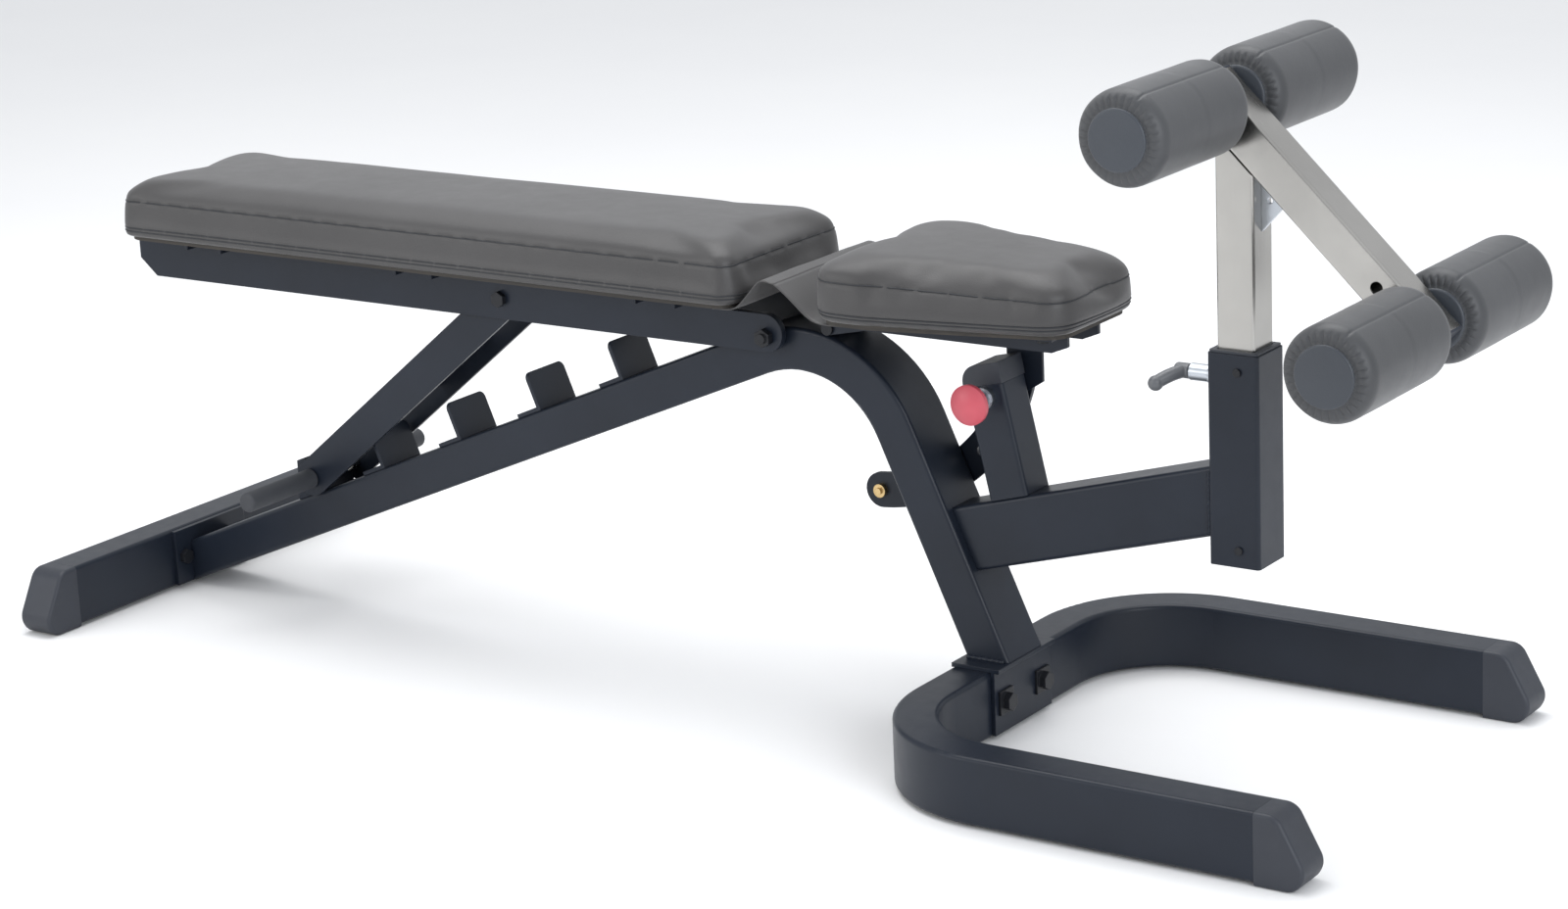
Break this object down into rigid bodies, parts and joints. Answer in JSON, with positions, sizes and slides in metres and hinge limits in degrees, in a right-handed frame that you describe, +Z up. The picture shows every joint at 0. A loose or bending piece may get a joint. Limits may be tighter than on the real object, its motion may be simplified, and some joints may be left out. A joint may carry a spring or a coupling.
{
  "type": "adjustable weight bench",
  "caption": "Adjustable bench with a hinged backrest on a ladder strut, a tilting seat and a sliding leg hold-down with foam rollers.",
  "frame": {"origin": "on the floor, at the middle of the overall box", "axes": "+X towards the leg hold-down, +Y to the left of a person lying on the bench, +Z up"},
  "size_m": [1.839, 0.6068, 0.789],
  "materials": {
    "powder_coat": "satin powder coat, near black with a blue cast",
    "cap_plastic": "moulded black plastic",
    "dark_fastener": "black oxide",
    "brass": "turned",
    "chrome_steel": "satin chrome",
    "zinc_steel": "bright zinc",
    "red_knob": "moulded red plastic",
    "handle_plastic": "grey moulded plastic",
    "grip_rubber": "soft matt rubber",
    "board_wood": "plywood, stained black underneath",
    "vinyl": "fine grained vinyl",
    "disc_vinyl": "vinyl end disc"
  },
  "bodies": {
    "frame": {"u_base_tube": "powder_coat", "u_base_cap_left": "cap_plastic", "u_base_cap_right": "cap_plastic", "saddle_bracket": "powder_coat", "main_beam": "powder_coat", "rear_stabilizer_tube": "powder_coat", "stabilizer_cap_left": "cap_plastic", "stabilizer_cap_right": "cap_plastic", "beam_flange_plate": "powder_coat", "frame_bolts": "dark_fastener", "ladder_catch_1": "powder_coat", "ladder_catch_2": "powder_coat", "ladder_catch_3": "powder_coat", "ladder_catch_4": "powder_coat", "ladder_end_catch": "powder_coat", "hinge_bolt": "dark_fastener", "hinge_tubes": "powder_coat", "seat_pivot_bolt": "dark_fastener", "front_arm_tube": "powder_coat", "post_sleeve": "powder_coat", "sleeve_bushing": "cap_plastic", "seat_support_post": "powder_coat", "seat_post_cap": "cap_plastic", "seat_pin_barrel": "zinc_steel", "leg_pin_barrel": "zinc_steel"},
    "backrest": {"backrest_rail_left": "powder_coat", "backrest_rail_right": "powder_coat", "backrest_cross_channels": "powder_coat", "backrest_board": "board_wood", "backrest_pad": "vinyl", "backrest_bolts": "dark_fastener"},
    "strut": {"strut_plate_left": "powder_coat", "strut_plate_right": "powder_coat", "strut_web": "powder_coat", "catch_bar": "chrome_steel", "grip_left": "grip_rubber", "grip_right": "grip_rubber"},
    "seat": {"seat_frame": "powder_coat", "seat_arc_plate": "powder_coat", "seat_stop_bolt": "brass", "seat_board": "board_wood", "seat_pad": "vinyl", "seat_pad_bolts": "dark_fastener"},
    "seat_pin": {"seat_pin_plunger": "zinc_steel", "seat_pin_knob": "red_knob"},
    "leg_pin": {"leg_pin_plunger": "zinc_steel", "leg_pin_handle": "handle_plastic"},
    "leg_holder": {"leg_post": "chrome_steel", "roller_arm": "chrome_steel", "arm_end_plugs": "cap_plastic", "arm_gusset": "zinc_steel", "roller_axles": "chrome_steel"},
    "roller_upper_left": {"roller_pad_upper_left": "vinyl", "roller_discs_upper_left": "disc_vinyl"},
    "roller_upper_right": {"roller_pad_upper_right": "vinyl", "roller_discs_upper_right": "disc_vinyl"},
    "roller_lower_left": {"roller_pad_lower_left": "vinyl", "roller_discs_lower_left": "disc_vinyl"},
    "roller_lower_right": {"roller_pad_lower_right": "vinyl", "roller_discs_lower_right": "disc_vinyl"}
  },
  "joints": [
    {"name": "backrest_hinge", "type": "hinge", "parent": "frame", "child": "backrest", "pos_m": [0.0805, 0, 0.436], "axis": [0, 1, 0], "range_deg": [0, 45]},
    {"name": "strut_swing", "type": "hinge", "parent": "backrest", "child": "strut", "pos_m": [-0.3035, 0, 0.443], "axis": [0, 1, 0], "range_deg": [-68, 0]},
    {"name": "seat_hinge", "type": "hinge", "parent": "frame", "child": "seat", "pos_m": [0.154, 0, 0.4495], "axis": [0, -1, 0], "range_deg": [0, 18]},
    {"name": "seat_pin_pull", "type": "slide", "parent": "frame", "child": "seat_pin", "axis": [0, -1, 0], "range_m": [0, 0.012], "stiffness_N_per_m": 800},
    {"name": "leg_pin_pull", "type": "slide", "parent": "frame", "child": "leg_pin", "axis": [-1, 0, 0], "range_m": [0, 0.012], "stiffness_N_per_m": 800},
    {"name": "leg_post_height", "type": "slide", "parent": "frame", "child": "leg_holder", "axis": [0, 0, 1], "range_m": [-0.05, 0.1]},
    {"name": "roller_upper_left_spin", "type": "hinge", "parent": "leg_holder", "child": "roller_upper_left", "pos_m": [0.6405, 0, 0.737], "axis": [0, 1, 0], "continuous": true},
    {"name": "roller_upper_right_spin", "type": "hinge", "parent": "leg_holder", "child": "roller_upper_right", "pos_m": [0.6405, 0, 0.737], "axis": [0, 1, 0], "continuous": true},
    {"name": "roller_lower_left_spin", "type": "hinge", "parent": "leg_holder", "child": "roller_lower_left", "pos_m": [0.8675, 0, 0.518], "axis": [0, 1, 0], "continuous": true},
    {"name": "roller_lower_right_spin", "type": "hinge", "parent": "leg_holder", "child": "roller_lower_right", "pos_m": [0.8675, 0, 0.518], "axis": [0, 1, 0], "continuous": true}
  ],
  "couplings": [
    {"joint": "strut_swing", "follows": "backrest_hinge", "ratio": -1.5}
  ]
}
